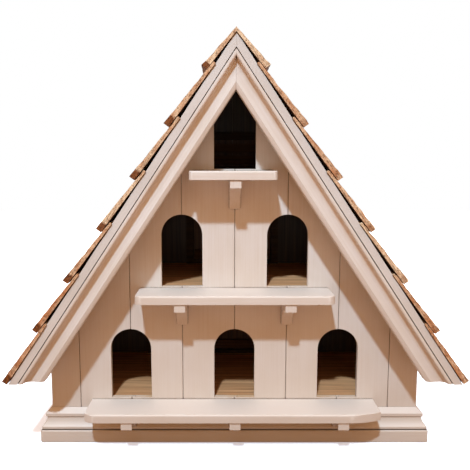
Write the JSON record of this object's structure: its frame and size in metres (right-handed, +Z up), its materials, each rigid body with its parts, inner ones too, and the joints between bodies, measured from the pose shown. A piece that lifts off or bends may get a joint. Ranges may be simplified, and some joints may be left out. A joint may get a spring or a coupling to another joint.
{
  "type": "birdhouse",
  "caption": "Triangular timber dovecote with a steep shingled roof, arched doorways above landing ledges on brackets, and drop-down doors at the rear.",
  "frame": {"origin": "on the ground, under the middle of the whole part's box", "axes": "+Z up, doorways face -Y, +X to the right when looking at the doorways"},
  "size_m": [0.9416, 0.468, 0.8585],
  "materials": {
    "painted_timber": "brushed chalky white paint, worn and dirty at the edges",
    "bare_timber": "bare sawn pine",
    "cedar_shingle": "bare split cedar",
    "brass": "dull brass",
    "steel": "plain steel"
  },
  "bodies": {
    "root": {"front_board_1": "painted_timber", "front_board_2": "painted_timber", "front_board_3": "painted_timber", "front_board_4": "painted_timber", "front_board_5": "painted_timber", "front_board_6": "painted_timber", "front_board_7": "painted_timber", "front_board_8": "painted_timber", "rear_boards_left": "painted_timber", "rear_boards_right": "painted_timber", "side_wall_left": "painted_timber", "side_wall_right": "painted_timber", "base_strip_front": "painted_timber", "base_strip_rear": "painted_timber", "base_strips_side": "painted_timber", "plinth_moulding_front": "painted_timber", "plinth_moulding_rear": "painted_timber", "plinth_mouldings_side": "painted_timber", "roof_deck_left": "painted_timber", "roof_deck_right": "painted_timber", "rake_moulding_left": "painted_timber", "rake_moulding_right": "painted_timber", "rear_verge_boards": "painted_timber", "bottom_ledge": "painted_timber", "middle_ledge": "painted_timber", "top_ledge": "painted_timber", "bottom_brackets": "painted_timber", "middle_brackets": "painted_timber", "top_bracket": "painted_timber", "base_floor": "bare_timber", "middle_floor": "bare_timber", "top_floor": "bare_timber", "bottom_partitions": "bare_timber", "middle_partition": "bare_timber", "cleats": "bare_timber", "eaves_fillets": "bare_timber", "shingle_course_1": "cedar_shingle", "shingle_course_2": "cedar_shingle", "shingle_course_3": "cedar_shingle", "shingle_course_4": "cedar_shingle", "shingle_course_5": "cedar_shingle", "shingle_course_6": "cedar_shingle", "shingle_course_7": "cedar_shingle", "fixed_hinge_leaves": "brass", "hinge_pins": "steel", "rear_screws": "brass"},
    "bottom_door": {"bottom_door_boards": "painted_timber", "bottom_door_battens": "bare_timber", "bottom_door_hinges": "brass"},
    "middle_door": {"middle_door_boards": "painted_timber", "middle_door_battens": "bare_timber", "middle_door_hinges": "brass"},
    "top_door": {"top_door_boards": "painted_timber", "top_door_battens": "bare_timber", "top_door_hinges": "brass"},
    "bottom_turn_button_left": {"bottom_button_left": "painted_timber"},
    "bottom_turn_button_right": {"bottom_button_right": "painted_timber"},
    "middle_turn_button_left": {"middle_button_left": "painted_timber"},
    "middle_turn_button_right": {"middle_button_right": "painted_timber"},
    "top_turn_button": {"top_button": "painted_timber"}
  },
  "joints": [
    {"name": "bottom_door_hinge", "type": "hinge", "parent": "root", "child": "bottom_door", "pos_m": [0, 0.193, 0.095], "axis": [-1, 0, 0], "range_deg": [0, 110]},
    {"name": "middle_door_hinge", "type": "hinge", "parent": "root", "child": "middle_door", "pos_m": [0, 0.193, 0.345], "axis": [-1, 0, 0], "range_deg": [0, 175]},
    {"name": "top_door_hinge", "type": "hinge", "parent": "root", "child": "top_door", "pos_m": [0, 0.193, 0.596], "axis": [-1, 0, 0], "range_deg": [0, 175]},
    {"name": "bottom_turn_left", "type": "hinge", "parent": "root", "child": "bottom_turn_button_left", "pos_m": [-0.1695, 0.1903, 0.316], "axis": [0, 1, 0], "range_deg": [-90, 0]},
    {"name": "bottom_turn_right", "type": "hinge", "parent": "root", "child": "bottom_turn_button_right", "pos_m": [0.1695, 0.1903, 0.316], "axis": [0, 1, 0], "range_deg": [-90, 0]},
    {"name": "middle_turn_left", "type": "hinge", "parent": "root", "child": "middle_turn_button_left", "pos_m": [-0.098, 0.1903, 0.559], "axis": [0, 1, 0], "range_deg": [-90, 0]},
    {"name": "middle_turn_right", "type": "hinge", "parent": "root", "child": "middle_turn_button_right", "pos_m": [0.098, 0.1903, 0.559], "axis": [0, 1, 0], "range_deg": [-90, 0]},
    {"name": "top_turn", "type": "hinge", "parent": "root", "child": "top_turn_button", "pos_m": [0.085, 0.1903, 0.649], "axis": [0, 1, 0], "range_deg": [-90, 0]}
  ]
}
